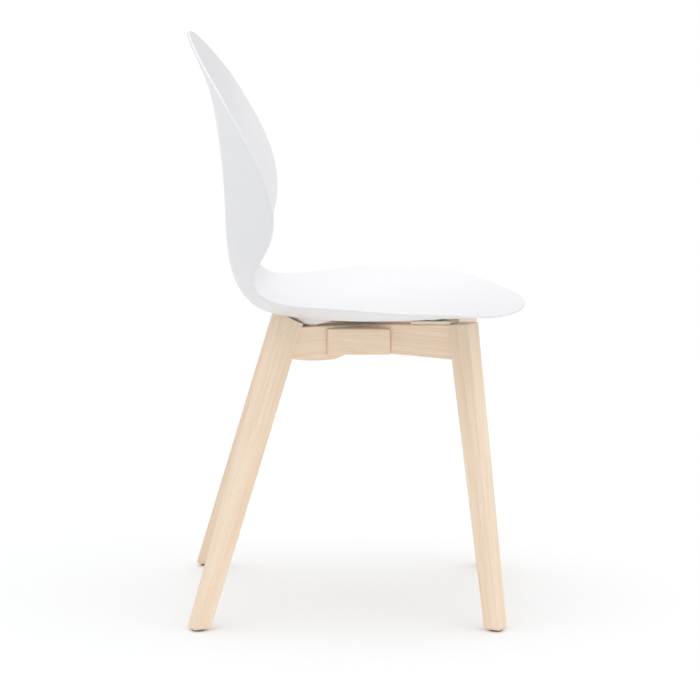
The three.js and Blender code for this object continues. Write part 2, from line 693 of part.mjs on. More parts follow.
// A nail-on glide: a low domed disc that the nail's head is moulded into.
function glideGeometry() {
  const nailRoom = NAIL_RADIUS + FIT_GAP;
  const [chamfer, floor] = [1, 0.8];
  const profile = [[0, 0], [GLIDE_RADIUS - chamfer, 0], [GLIDE_RADIUS, chamfer],
    [GLIDE_RADIUS, GLIDE_THICKNESS], [nailRoom, GLIDE_THICKNESS], [nailRoom, floor], [0, floor]];
  const turned = new THREE.LatheGeometry(profile.map(([r, z]) => new THREE.Vector2(r, z)), 18);
  turned.rotateX(Math.PI / 2);
  return turned;
}

function nailGeometry() {
  const [start, point] = [1.1, 3];
  const profile = [[0, start], [NAIL_RADIUS, start], [NAIL_RADIUS, NAIL_LENGTH - point],
    [0, NAIL_LENGTH]];
  const turned = new THREE.LatheGeometry(profile.map(([r, z]) => new THREE.Vector2(r, z)), 10);
  turned.rotateX(Math.PI / 2);
  return turned;
}

function atHeight(mesh, corner, height) {
  const point = fixingPoint(corner);
  mesh.position.set(point.x, point.y, height);
  return mesh;
}

function inFrame(mesh, frame) {
  frame.decompose(mesh.position, mesh.quaternion, mesh.scale);
  return mesh;
}

// ---------------------------------------------------------------- assembly
const chair = new THREE.Group();
const base = new THREE.Group();
const fixings = new THREE.Group();
chair.add(named('seat_shell', shellGeometry(), shellPlastic()), base, fixings);

base.add(named('beam_front_right', beamGeometry(-1), bleachedWood()));
base.add(named('beam_front_left', beamGeometry(1), bleachedWood()));
for (const [side, name] of [[-1, 'right'], [1, 'left']]) {
  base.add(named(`corner_block_${name}`, blockGeometry(side), bleachedWood()));
  blockDowelFrames(side).forEach((frame, index) => {
    const dowel = named(`block_dowel_${name}_${index + 1}`,
      dowelGeometry(BLOCK_DOWEL_RADIUS, BLOCK_DOWEL_LENGTH), dowelWood());
    base.add(inFrame(dowel, frame));
  });
}

for (const corner of corners) {
  base.add(named(`leg_${corner.name}`, legGeometry(corner), bleachedWood()));
  dowelFrames(corner).forEach((frame, index) => {
    const dowel = named(`leg_dowel_${corner.name}_${index + 1}`,
      dowelGeometry(DOWEL_RADIUS, DOWEL_LENGTH), dowelWood());
    base.add(inFrame(dowel, frame));
  });
  const glide = named(`glide_${corner.name}`, glideGeometry(), glidePlastic());
  glide.position.set(corner.foot.x, corner.foot.y, 0);
  const nail = named(`glide_nail_${corner.name}`, nailGeometry(), zincSteel());
  nail.position.copy(glide.position);
  base.add(glide, nail);

  fixings.add(inFrame(named(`pad_${corner.name}`, padGeometry(corner), padPlastic()), padFrame(corner)));
  const washerBottom = counterboreTop(corner) - WASHER_THICKNESS - FIT_GAP;
  const washer = named(`washer_${corner.name}`,
    ringGeometry(SCREW_RADIUS + FIT_GAP, WASHER_RADIUS, WASHER_THICKNESS), zincSteel());
  fixings.add(atHeight(washer, corner, washerBottom));
  const screwBase = washerBottom - FIT_GAP;
  const screwLength = insertTop(corner) - 1 - screwBase;
  const screw = named(`shell_screw_${corner.name}`,
    buttonScrew(SCREW_RADIUS, SCREW_HEAD_RADIUS, SCREW_HEAD_HEIGHT, screwLength), zincSteel());
  fixings.add(atHeight(screw, corner, screwBase));
  const insert = named(`shell_insert_${corner.name}`,
    ringGeometry(SCREW_RADIUS + FIT_GAP, INSERT_RADIUS, insertLength(corner)), brass());
  fixings.add(atHeight(insert, corner, bossBottom(corner)));
}

function lapScrewGeometry() {
  const { radius, headRadius, headHeight, length } = LAP_SCREW;
  return buttonScrew(radius, headRadius, headHeight, length - headHeight);
}

const lapScrew = named('lap_screw', lapScrewGeometry(), zincSteel());
lapScrew.position.set(0, CROSS_Y, BEAM_BOTTOM.front + LAP_SCREW.headHeight);
base.add(lapScrew);

export default chair;
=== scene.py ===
# Dining chair: the moulded shell, the planed wooden base and its fittings, around the fixed frame.
# It is laid out as an add-on and run as a script. Metres, +Z up; the chair faces -Y and stands on Z = 0.
# "right" is the sitter's right hand, on the -X side.
import math

import bmesh
import bpy
import numpy as np
from mathutils import Matrix, Vector


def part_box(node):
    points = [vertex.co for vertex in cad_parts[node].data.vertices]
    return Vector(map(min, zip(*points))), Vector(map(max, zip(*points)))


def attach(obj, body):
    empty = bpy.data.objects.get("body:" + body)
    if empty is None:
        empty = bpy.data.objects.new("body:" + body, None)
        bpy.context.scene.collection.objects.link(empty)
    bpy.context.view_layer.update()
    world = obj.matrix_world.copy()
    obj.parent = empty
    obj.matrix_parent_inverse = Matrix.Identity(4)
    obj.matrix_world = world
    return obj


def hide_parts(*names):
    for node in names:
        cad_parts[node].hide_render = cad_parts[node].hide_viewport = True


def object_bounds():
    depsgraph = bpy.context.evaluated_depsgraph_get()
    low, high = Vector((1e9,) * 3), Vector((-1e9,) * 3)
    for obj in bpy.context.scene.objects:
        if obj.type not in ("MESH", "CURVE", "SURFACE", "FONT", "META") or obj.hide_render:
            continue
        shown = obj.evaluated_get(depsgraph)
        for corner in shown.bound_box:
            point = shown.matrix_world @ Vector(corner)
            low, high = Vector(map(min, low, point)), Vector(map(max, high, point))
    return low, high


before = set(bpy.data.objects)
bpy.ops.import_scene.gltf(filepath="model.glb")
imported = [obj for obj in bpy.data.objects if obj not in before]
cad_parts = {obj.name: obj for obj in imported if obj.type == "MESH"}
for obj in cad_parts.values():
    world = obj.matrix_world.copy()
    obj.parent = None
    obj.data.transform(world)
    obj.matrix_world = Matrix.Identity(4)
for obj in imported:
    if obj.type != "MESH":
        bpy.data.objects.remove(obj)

bl_info = {
    "name": "Dining chair",
    "version": (1, 0, 0),
    "blender": (4, 5, 0),
    "location": "3D View > Sidebar > Chair",
    "description": "Builds the visible pieces, finishes and studio of a moulded dining chair",
    "category": "Object",
}

CAD_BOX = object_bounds()
MM = 0.001
SIDES = {"right": -1, "left": 1}
CORNERS = [f"{end}_{side}" for end in ("front", "rear") for side in SIDES]

# ---------------------------------------------------------------- shell dimensions
# Stations of the shell from the front lip (along 0) to the top of the back (along 1):
# along, (y, z) on the centre line, (y, z) of the rim there, and the half width.
SHELL_STATIONS = [
    (0.05, (-0.206, 0.443), (-0.206, 0.4475), 0.154),
    (0.115, (-0.155, 0.439), (-0.156, 0.4565), 0.215),
    (0.2, (-0.088, 0.4325), (-0.088, 0.461), 0.234),
    (0.295, (-0.008, 0.427), (-0.006, 0.464), 0.221),
    (0.375, (0.06, 0.427), (0.063, 0.462), 0.177),
    (0.445, (0.116, 0.433), (0.112, 0.4635), 0.147),
    (0.49, (0.147, 0.443), (0.136, 0.4715), 0.132),
    (0.53, (0.169, 0.4645), (0.149, 0.4855), 0.125),
    (0.575, (0.183, 0.496), (0.149, 0.508), 0.127),
    (0.625, (0.1895, 0.538), (0.1325, 0.542), 0.154),
    (0.7, (0.1925, 0.597), (0.1215, 0.5975), 0.199),
    (0.78, (0.1975, 0.664), (0.1375, 0.663), 0.216),
    (0.86, (0.207, 0.73), (0.172, 0.729), 0.212),
    (0.92, (0.2185, 0.778), (0.203, 0.78), 0.176),
    (0.955, (0.2305, 0.808), (0.223, 0.809), 0.132),
]
# The two ends: (y, z), with the spread and the cupping (y, z) that the rim tends to there.
SHELL_LIP = ((-0.246, 0.443), 0.368, (0.0, 0.02))
SHELL_TOP = ((0.246, 0.8425), 0.315, (-0.045, 0.0))
RIM_FLARE = 0.25  # share of the upward cupping that comes late, close to the rim
FOOT_HALF = 0.01275  # half the side of a leg at the floor
NAIL_ROOM = 0.004  # the part of a foot round its nail that stays as it is
HEAD_LEVEL = 0.38  # above this height a leg is inside its joint
BOARD_PAINTED_LIGHT = {"leg": 0.985, "beam": 1.04, "block": 1.03}  # painted light: how much lighter each kind of piece is painted; the beams and blocks, in shade under the seat, are painted lighter than the legs
SHARP_EDGE = math.radians(40)  # edges that turn more than this keep a crisp shade
PIECE_EDGE = math.radians(50)  # edges of the pads and glides that turn more than this are rounded
BOSS_FLAT = 0.012  # radius of the flat under each boss
BOSS_REACH = {"front": 0.024, "rear": 0.042}  # radius at which it has died into the wall


# ---------------------------------------------------------------- colours
def linear(hex_colour):
    """An sRGB hex colour as linear red, green and blue."""
    parts = [int(hex_colour[k:k + 2], 16) / 255 for k in (1, 3, 5)]
    return tuple(p / 12.92 if p <= 0.04045 else ((p + 0.055) / 1.055) ** 2.4 for p in parts)


def with_alpha(colour):
    return (*colour, 1.0)


# ---------------------------------------------------------------- settings
class ChairShellSettings(bpy.types.PropertyGroup):
    """The moulded seat and back."""
    thickness: bpy.props.FloatProperty(
        name="Wall", description="Thickness of the moulded wall",
        default=0.0045, min=0.003, max=0.008, unit="LENGTH")
    rings: bpy.props.IntProperty(
        name="Rings", description="Rows of faces from the middle of the shell to its rim",
        default=72, min=12, max=160)
    spokes: bpy.props.IntProperty(
        name="Spokes", description="Faces round the rim", default=288, min=48, max=720)
    colour: bpy.props.FloatVectorProperty(
        name="Colour", description="Colour of the plastic", subtype="COLOR", size=3,
        default=linear("#E9E9EB"), min=0, max=1)


class ChairWoodSettings(bpy.types.PropertyGroup):
    """The planed wood of the legs, beams and blocks."""
    pale: bpy.props.FloatVectorProperty(
        name="Pale wood", description="Colour of the wood between its growth lines",
        subtype="COLOR", size=3, default=linear("#F9E6D0"), min=0, max=1)
    deep: bpy.props.FloatVectorProperty(
        name="Growth lines", description="Colour of the wood in its growth lines",
        subtype="COLOR", size=3, default=linear("#EACDAC"), min=0, max=1)
    fleck: bpy.props.FloatVectorProperty(
        name="Flecks", description="Colour of the short pores along the grain",
        subtype="COLOR", size=3, default=linear("#D8B997"), min=0, max=1)
    foot_rounding: bpy.props.FloatProperty(
        name="Foot rounding", description="Radius on the bottom edges of the legs",
        default=0.0045, min=0.0002, max=0.006, unit="LENGTH")


class ChairFittingSettings(bpy.types.PropertyGroup):
    """Pads, glides and the metal fittings."""
    pad: bpy.props.FloatVectorProperty(
        name="Pads", description="Colour of the pads under the seat", subtype="COLOR", size=3,
        default=linear("#F6EAD2"), min=0, max=1)
    glide: bpy.props.FloatVectorProperty(
        name="Glides", description="Colour of the glides under the legs", subtype="COLOR", size=3,
        default=linear("#958775"), min=0, max=1)
    pad_rounding: bpy.props.FloatProperty(
        name="Pad rounding", description="Radius on the edges of the pads and glides",
        default=0.0006, min=0.0001, max=0.002, unit="LENGTH")


class ChairStageSettings(bpy.types.PropertyGroup):
    """Floor, light and camera."""
    floor: bpy.props.FloatVectorProperty(
        name="Floor", description="Colour of the studio floor", subtype="COLOR", size=3,
        default=linear("#F0F1F2"), min=0, max=1)
    lens: bpy.props.FloatProperty(
        name="Lens", description="Focal length in millimetres on a 36 mm wide sensor",
        default=275.4, min=20, max=400)
    camera_distance: bpy.props.FloatProperty(
        name="Camera distance", description="Level distance from the middle of the chair to the camera",
        default=7.82, min=1, unit="LENGTH")
    camera_aside: bpy.props.FloatProperty(
        name="Camera aside", description="How far behind the middle of the chair the camera stands",
        default=0.010, unit="LENGTH")
    camera_height: bpy.props.FloatProperty(
        name="Camera height", description="Height of the camera above the floor",
        default=1.6454, min=0.1, unit="LENGTH")
    camera_tilt: bpy.props.FloatProperty(
        name="Camera tilt", description="Angle at which the camera looks down",
        default=math.radians(9.247), subtype="ANGLE")
    low_light: bpy.props.FloatProperty(
        name="Low light", description="Strength of the studio's light at floor level", default=0.27, min=0)
    high_light: bpy.props.FloatProperty(
        name="High light", description="Strength of the studio's light overhead", default=1.65, min=0)
    key_light: bpy.props.FloatProperty(
        name="Key light", description="Strength of the broad lamp in front of the chair", default=0.2, min=0)


# ---------------------------------------------------------------- node building
def add_node(tree, kind, inputs=None, **settings):
    """Adds a node with its settings. An input is set to a value, or linked where it is a socket."""
    made = tree.nodes.new(kind)
    for name, value in settings.items():
        setattr(made, name, value)
    for name, value in (inputs or {}).items():
        if isinstance(value, bpy.types.NodeSocket):
            tree.links.new(value, made.inputs[name])
        else:
            made.inputs[name].default_value = value
    return made


def new_material(name):
    material = bpy.data.materials.new(name)
    material.use_nodes = True
    material.node_tree.nodes.clear()
    return material, material.node_tree


def finish_material(tree, shader_inputs):
    shader = add_node(tree, "ShaderNodeBsdfPrincipled", shader_inputs)
    add_node(tree, "ShaderNodeOutputMaterial", {"Surface": shader.outputs["BSDF"]})


# ---------------------------------------------------------------- materials
def moulded_polypropylene(settings):
    """White polypropylene, injection moulded in a lightly spark-eroded tool.

    The tool's texture, about 0.25 mm, blurs the gloss to a satin. It is drawn three times as coarse,
    because the true grain is finer than the render can show. Flow and cooling leave slow, faint
    changes of gloss and of tone about 90 mm across.
    """
    material, tree = new_material("polypropylene_moulded_white")
    place = add_node(tree, "ShaderNodeTexCoord").outputs["Object"]
    erosion = add_node(tree, "ShaderNodeTexNoise", {
        "Vector": place, "Scale": 1 / (0.75 * MM), "Detail": 2.0, "Roughness": 0.6})
    flow = add_node(tree, "ShaderNodeTexNoise", {
        "Vector": place, "Scale": 1 / (90 * MM), "Detail": 3.0, "Roughness": 0.5})
    tone = add_node(tree, "ShaderNodeMix", {
        0: flow.outputs["Fac"],
        6: with_alpha(settings.colour),
        7: with_alpha([c * 0.985 for c in settings.colour])}, data_type="RGBA")
    gloss = add_node(tree, "ShaderNodeMapRange", {
        "Value": flow.outputs["Fac"], "To Min": 0.36, "To Max": 0.46})
    bump = add_node(tree, "ShaderNodeBump", {
        "Strength": 0.12, "Distance": 0.03 * MM, "Height": erosion.outputs["Fac"]})
    finish_material(tree, {
        "Base Color": tone.outputs[2], "Roughness": gloss.outputs["Result"],
        "Normal": bump.outputs["Normal"], "IOR": 1.49, "Metallic": 0.0})
    return material


def wood_pattern(tree, place, pale, deep, fleck):
    """Colour and height of planed wood from places in millimetres with the grain along Z."""
    drift = add_node(tree, "ShaderNodeTexNoise", {
        "Vector": add_node(tree, "ShaderNodeMapping", {
            "Vector": place, "Scale": (1 / 60, 1 / 60, 1 / 260)}).outputs["Vector"],
        "Scale": 1.0, "Detail": 2.0})
    bent = add_node(tree, "ShaderNodeVectorMath", {
        0: place,
        1: add_node(tree, "ShaderNodeVectorMath", {
            0: drift.outputs["Color"], 1: (10.0, 10.0, 0.0)},
            operation="MULTIPLY").outputs["Vector"]}, operation="ADD").outputs["Vector"]
    growth = add_node(tree, "ShaderNodeTexNoise", {
        "Vector": add_node(tree, "ShaderNodeMapping", {
            "Vector": bent, "Scale": (1 / 12, 1 / 12, 1 / 600)}).outputs["Vector"],
        "Scale": 1.0, "Detail": 1.0})
    lines = add_node(tree, "ShaderNodeTexNoise", {
        "Vector": add_node(tree, "ShaderNodeMapping", {
            "Vector": bent, "Scale": (1 / 2.4, 1 / 2.4, 1 / 160)}).outputs["Vector"],
        "Scale": 1.0, "Detail": 3.0, "Roughness": 0.7})
    pores = add_node(tree, "ShaderNodeTexNoise", {
        "Vector": add_node(tree, "ShaderNodeMapping", {
            "Vector": place, "Scale": (1 / 0.9, 1 / 0.9, 1 / 14)}).outputs["Vector"],
        "Scale": 1.0, "Detail": 2.0})
    line_share = add_node(tree, "ShaderNodeMapRange", {
        "Value": lines.outputs["Fac"], "From Min": 0.42, "From Max": 0.68}).outputs["Result"]
    growth_share = add_node(tree, "ShaderNodeMapRange", {
        "Value": growth.outputs["Fac"], "From Min": 0.3, "From Max": 0.7,
        "To Max": 0.4}).outputs["Result"]
    share = add_node(tree, "ShaderNodeMath", {
        0: growth_share,
        1: add_node(tree, "ShaderNodeMath", {
            0: line_share, 1: 0.5}, operation="MULTIPLY").outputs[0]},
        operation="ADD", use_clamp=True)
    body = add_node(tree, "ShaderNodeMix", {
        0: share.outputs[0], 6: with_alpha(pale), 7: with_alpha(deep)}, data_type="RGBA")
    pore_share = add_node(tree, "ShaderNodeMapRange", {
        "Value": pores.outputs["Fac"], "From Min": 0.63, "From Max": 0.78, "To Max": 0.5})
    colour = add_node(tree, "ShaderNodeMix", {
        0: pore_share.outputs["Result"], 6: body.outputs[2], 7: with_alpha(fleck)},
        data_type="RGBA")
    height = add_node(tree, "ShaderNodeMath", {
        0: line_share, 1: pore_share.outputs["Result"]}, operation="ADD")
    return colour.outputs[2], height.outputs[0]


def planed_beech(settings):
    """Bleached beech, planed and sanded along the grain, under a thin matt lacquer.

    Growth lines 2 to 12 mm apart run straight along each piece, with short fine pores between them.
    The lacquer leaves a soft sheen that breaks a little over the grain. Real pores are about
    0.1 mm wide and are drawn nearly 1 mm wide so that they show.
    """
    material, tree = new_material("beech_planed_bleached")
    place = add_node(tree, "ShaderNodeAttribute", attribute_name="grain").outputs["Vector"]
    # The tone attribute is painted light: it scales the wood colour so that the beams and blocks, in shade
    # under the seat, come out lighter than the legs.
    tone = add_node(tree, "ShaderNodeAttribute", attribute_name="tone").outputs["Fac"]
    pattern, height = wood_pattern(tree, place, settings.pale, settings.deep, settings.fleck)
    colour = add_node(tree, "ShaderNodeVectorMath", {
        0: pattern, "Scale": tone}, operation="SCALE").outputs["Vector"]
    gloss = add_node(tree, "ShaderNodeMapRange", {"Value": height, "To Min": 0.5, "To Max": 0.66})
    bump = add_node(tree, "ShaderNodeBump", {
        "Strength": 0.25, "Distance": 0.08 * MM, "Height": height}, invert=True)
    finish_material(tree, {
        "Base Color": colour, "Roughness": gloss.outputs["Result"],
        "Normal": bump.outputs["Normal"], "IOR": 1.5, "Metallic": 0.0})
    return material


def turned_dowel_beech(settings):
    """Raw beech dowel, machined round: the same wood, unlacquered, so it is duller and a shade deeper."""
    material, tree = new_material("beech_dowel_machined")
    metres = add_node(tree, "ShaderNodeTexCoord").outputs["Object"]
    place = add_node(tree, "ShaderNodeVectorMath", {
        0: metres, "Scale": 1 / MM}, operation="SCALE").outputs["Vector"]
    colour, height = wood_pattern(tree, place, settings.deep, settings.fleck, settings.fleck)
    bump = add_node(tree, "ShaderNodeBump", {
        "Strength": 0.3, "Distance": 0.1 * MM, "Height": height}, invert=True)
    finish_material(tree, {
        "Base Color": colour, "Roughness": 0.72, "Normal": bump.outputs["Normal"],
        "IOR": 1.5, "Metallic": 0.0})
    return material


def moulded_elastomer(name, colour, roughness, grain_mm):
    """Soft plastic moulded in a blasted tool: a dull skin with a fine, even grain and slight mottling."""
    material, tree = new_material(name)
    place = add_node(tree, "ShaderNodeTexCoord").outputs["Object"]
    grain = add_node(tree, "ShaderNodeTexNoise", {
        "Vector": place, "Scale": 1 / (grain_mm * MM), "Detail": 3.0})
    tone = add_node(tree, "ShaderNodeMix", {
        0: grain.outputs["Fac"], 6: with_alpha(colour),
        7: with_alpha([c * 0.9 for c in colour])}, data_type="RGBA")
    bump = add_node(tree, "ShaderNodeBump", {
        "Strength": 0.2, "Distance": 0.05 * MM, "Height": grain.outputs["Fac"]})
    finish_material(tree, {
        "Base Color": tone.outputs[2], "Roughness": roughness,
        "Normal": bump.outputs["Normal"], "IOR": 1.5, "Metallic": 0.0})
    return material


def plated_metal(name, bright, dull, roughness, grain_mm):
    """Turned metal: fine marks left by the tool spread the gloss, and the finish mottles slightly."""
    material, tree = new_material(name)
    place = add_node(tree, "ShaderNodeTexCoord").outputs["Object"]
    marks = add_node(tree, "ShaderNodeTexNoise", {
        "Vector": place, "Scale": 1 / (grain_mm * MM), "Detail": 4.0})
    tone = add_node(tree, "ShaderNodeMix", {
        0: marks.outputs["Fac"], 6: with_alpha(linear(bright)), 7: with_alpha(linear(dull))},
        data_type="RGBA")
    gloss = add_node(tree, "ShaderNodeMapRange", {
        "Value": marks.outputs["Fac"], "To Min": roughness * 0.8, "To Max": roughness * 1.3})
    finish_material(tree, {
        "Base Color": tone.outputs[2], "Roughness": gloss.outputs["Result"], "Metallic": 1.0})
    return material


def studio_floor(settings):
    """Matt painted board: even and pale, with the faintest roller stipple."""
    material, tree = new_material("floor_painted_board")
    place = add_node(tree, "ShaderNodeTexCoord").outputs["Object"]
    stipple = add_node(tree, "ShaderNodeTexNoise", {
        "Vector": place, "Scale": 1 / (4 * MM), "Detail": 2.0})
    gloss = add_node(tree, "ShaderNodeMapRange", {
        "Value": stipple.outputs["Fac"], "To Min": 0.5, "To Max": 0.6})
    finish_material(tree, {
        "Base Color": with_alpha(settings.floor), "Roughness": gloss.outputs["Result"],
        "Specular IOR Level": 0.2})
    return material


# ---------------------------------------------------------------- shell surface
def crown_of(along):
    return 2 * np.sqrt(np.clip(along * (1 - along), 0, None))


def station_values():
    """One row for each station: centre line y and z, lateral spread, and cupping y and z."""
    rows = [(*SHELL_LIP[0], SHELL_LIP[1], *SHELL_LIP[2])]
    for along, spine, rim, half in SHELL_STATIONS:
        crown = crown_of(along)
        cup = [(rim[k] - spine[k]) / crown ** 2 for k in (0, 1)]
        rows.append((*spine, half / crown, *cup))
    rows.append((*SHELL_TOP[0], SHELL_TOP[1], *SHELL_TOP[2]))
    return np.array(rows)


SHELL_KNOTS = np.array([0.0, *[station[0] for station in SHELL_STATIONS], 1.0])
SHELL_VALUES = station_values()


def spline_slopes(knots, values):
    """Slopes that join the stations with even curvature."""
    gaps = np.diff(knots)
    count = len(knots)
    system = np.zeros((count, count))
    target = np.zeros_like(values)
    chords = np.diff(values, axis=0) / gaps[:, None]
    system[0, :2] = (2, 1)
    target[0] = 3 * chords[0]
    system[-1, -2:] = (1, 2)
    target[-1] = 3 * chords[-1]
    for i in range(1, count - 1):
        system[i, i - 1:i + 2] = (gaps[i], 2 * (gaps[i - 1] + gaps[i]), gaps[i - 1])
        target[i] = 3 * (gaps[i] * chords[i - 1] + gaps[i - 1] * chords[i])
    return np.linalg.solve(system, target)


SHELL_SLOPES = spline_slopes(SHELL_KNOTS, SHELL_VALUES)


def shell_channels(along):
    index = np.clip(np.searchsorted(SHELL_KNOTS, along) - 1, 0, len(SHELL_KNOTS) - 2)
    span = SHELL_KNOTS[index + 1] - SHELL_KNOTS[index]
    u = ((along - SHELL_KNOTS[index]) / span)[..., None]
    span = span[..., None]
    start = SHELL_VALUES[index] * (2 * u ** 3 - 3 * u ** 2 + 1)
    start = start + SHELL_SLOPES[index] * span * (u ** 3 - 2 * u ** 2 + u)
    end = SHELL_VALUES[index + 1] * (3 * u ** 2 - 2 * u ** 3)
    return start + end + SHELL_SLOPES[index + 1] * span * (u ** 3 - u ** 2)


def shell_point(along, across):
    """The middle of the shell wall. across runs from -crown to +crown."""
    y, z, spread, cup_y, cup_z = np.moveaxis(shell_channels(along), -1, 0)
    reach = np.minimum((across / np.maximum(crown_of(along), 1e-3)) ** 2, 1)
    lift = cup_z * across ** 2 * (1 - RIM_FLARE + RIM_FLARE * reach)
    return np.stack([spread * across, y + cup_y * across ** 2, z + lift], axis=-1)


def disc_point(ring, angle):
    """The wall seen as a disc: ring 0 is its middle and ring 1 its rim."""
    along = np.clip(0.5 - 0.5 * ring * np.cos(angle), 0, 1)
    return shell_point(along, ring * np.sin(angle))


def unit(vectors):
    return vectors / np.linalg.norm(vectors, axis=-1, keepdims=True)


def disc_normal(ring, angle):
    """Points to the under and outer side of the shell."""
    step = 0.004
    inner = np.clip(ring, step * 2, 0.992)
    radial = disc_point(inner + step, angle) - disc_point(inner - step, angle)
    turning = disc_point(inner, angle + step) - disc_point(inner, angle - step)
    return unit(np.cross(turning, radial))


def rim_outward(angle):
    step = 0.004
    ones = np.ones_like(angle)
    edge = disc_point(ones, angle + step) - disc_point(ones, angle - step)
    return unit(np.cross(disc_normal(ones, angle), unit(edge)))


def smooth_step(value, low, high):
    t = np.clip((value - low) / (high - low), 0, 1)
    return t * t * (3 - 2 * t)


def with_bosses(points):
    """Draws the under side of the seat down to the boss over each fixing."""
    for corner in CORNERS:
        low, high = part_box(f"shell_insert_{corner}")
        reach = BOSS_REACH[corner.split("_")[0]]
        centre = np.array([(low.x + high.x) / 2, (low.y + high.y) / 2])
        away = np.linalg.norm(points[..., :2] - centre, axis=-1)
        share = np.where(points[..., 2] < high.z + 0.03, smooth_step(away, BOSS_FLAT, reach), 1.0)
        points[..., 2] = low.z + (points[..., 2] - low.z) * share
    return points


def shell_rows(settings):
    """Rows of points from the middle of the under side, round the rim, to the middle of the top side."""
    half = settings.thickness / 2
    angles = np.arange(settings.spokes) / settings.spokes * math.tau
    rings = np.arange(1, settings.rings + 1) / settings.rings
    grid, turn = np.meshgrid(rings, angles, indexing="ij")
    middle, normals = disc_point(grid, turn), disc_normal(grid, turn)
    under = with_bosses(middle + normals * half)
    upper = middle - normals * half
    rim_steps = 10
    rim_normal, outward = disc_normal(np.ones_like(angles), angles), rim_outward(angles)
    rim = [disc_point(np.ones_like(angles), angles) + half * (
        rim_normal * math.cos(math.pi * k / rim_steps) + outward * math.sin(math.pi * k / rim_steps))
        for k in range(1, rim_steps)]
    return [*under, *rim, *upper[::-1]]


def shell_mesh(settings):
    rows = shell_rows(settings)
    spokes = settings.spokes
    centre = disc_point(np.zeros(1), np.zeros(1))[0]
    normal = disc_normal(np.zeros(1), np.full(1, math.pi / 2))[0] * settings.thickness / 2
    points = [centre + normal, *np.concatenate(rows), centre - normal]
    last = len(points) - 1
    faces = []
    for spoke in range(spokes):
        beside = (spoke + 1) % spokes
        faces.append((0, 1 + beside, 1 + spoke))
        for row in range(len(rows) - 1):
            near, far = 1 + row * spokes, 1 + (row + 1) * spokes
            faces.append((near + spoke, near + beside, far + beside, far + spoke))
        end = 1 + (len(rows) - 1) * spokes
        faces.append((last, end + spoke, end + beside))
    mesh = bpy.data.meshes.new("moulded_shell")
    mesh.from_pydata([tuple(p) for p in points], [], faces)
    mesh.polygons.foreach_set("use_smooth", [True] * len(mesh.polygons))
    mesh.validate()
    return mesh


# ---------------------------------------------------------------- pieces cut from the frame's solids
def linked(name, mesh):
    piece = bpy.data.objects.new(name, mesh)
    bpy.context.scene.collection.objects.link(piece)
    return piece


def joined_bmesh(node):
    """A working copy of a node's solid with its seams closed and its flat faces whole."""
    work = bmesh.new()
    work.from_mesh(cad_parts[node].data)
    bmesh.ops.remove_doubles(work, verts=work.verts, dist=0.01 * MM)
    bmesh.ops.dissolve_limit(work, angle_limit=math.radians(0.5), verts=work.verts, edges=work.edges)
    return work


def round_edges(work, radius):
    """Rounds every edge that turns sharply."""
    edges = [
        edge for edge in work.edges
        if len(edge.link_faces) == 2 and edge.calc_face_angle(0) > PIECE_EDGE]
    bmesh.ops.bevel(
        work, geom=edges, offset=radius, offset_type="OFFSET", segments=3, profile=0.5,
        affect="EDGES", clamp_overlap=False)


def round_foot(work, foot, axis, radius, steps=5):
    """Draws a leg's end in towards its middle, so that its bottom edge is rounded over."""
    for step in range(1, steps + 1):
        height = radius * (1 - math.cos(math.pi / 2 * step / steps))
        bmesh.ops.bisect_plane(
            work, geom=work.verts[:] + work.edges[:] + work.faces[:],
            plane_co=(0, 0, foot.z + height), plane_no=(0, 0, 1))
    for vertex in work.verts:
        height = vertex.co.z - foot.z
        middle = foot + axis * (height / axis.z)
        out = vertex.co - middle
        if height < radius and out.length > NAIL_ROOM:
            inset = radius - math.sqrt(max(radius ** 2 - (radius - height) ** 2, 0))
            vertex.co = middle + out * (1 - inset / FOOT_HALF)


def soft_shaded(mesh):
    mesh.polygons.foreach_set("use_smooth", [True] * len(mesh.polygons))
    mesh.set_sharp_from_angle(angle=SHARP_EDGE)


def placed_piece(name, work, node, material):
    """Makes a piece from a working copy and lets it stand for its node."""
    mesh = bpy.data.meshes.new(name)
    work.to_mesh(mesh)
    work.free()
    soft_shaded(mesh)
    piece = linked(name, mesh)
    mesh.materials.append(material)
    even = piece.modifiers.new("even_flats", "WEIGHTED_NORMAL")
    even.keep_sharp = True
    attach(piece, "root")
    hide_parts(node)
    return piece


def set_grain(piece, direction, board, tone):
    """Stores each point's place in its board, in millimetres with the grain along Z, and the board's painted
    light: a factor that paints the beams and blocks, in shade under the seat, lighter than the legs.
    """
    along = Vector(direction).normalized()
    across = along.cross(Vector((0.31, 0.2, 1))).normalized()
    turned = Matrix((across, along.cross(across), along))
    shift = Vector((137.0, 71.0, 911.0)) * board
    store = piece.data.attributes.new("grain", "FLOAT_VECTOR", "POINT")
    places = [turned @ vertex.co / MM + shift for vertex in piece.data.vertices]
    store.data.foreach_set("vector", [value for place in places for value in place])
    shade = piece.data.attributes.new("tone", "FLOAT", "POINT")
    shade.data.foreach_set("value", [tone] * len(piece.data.vertices))


def dress(nodes, material):
    """Gives a material to nodes that keep their own solids."""
    for node in nodes:
        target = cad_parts[node]
        target.data.materials.clear()
        target.data.materials.append(material)


def leg_axis(corner):
    """Direction of a leg, from the middle of its glide to the middle of its head."""
    low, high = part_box(f"glide_{corner}")
    foot = (low + high) / 2
    head_points = [v.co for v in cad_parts[f"leg_{corner}"].data.vertices
                   if v.co.z > HEAD_LEVEL]
    head = sum(head_points, Vector()) / len(head_points)
    return head - Vector((foot.x, foot.y, 0))


def beam_direction(side):
    """Direction of the beam whose front end is on a side, from its front to its rear."""
    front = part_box(f"pad_front_{side}")
    other = "left" if side == "right" else "right"
    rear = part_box(f"pad_rear_{other}")
    level = (rear[0] + rear[1]) / 2 - (front[0] + front[1]) / 2
    return Vector((level.x, level.y, 0))


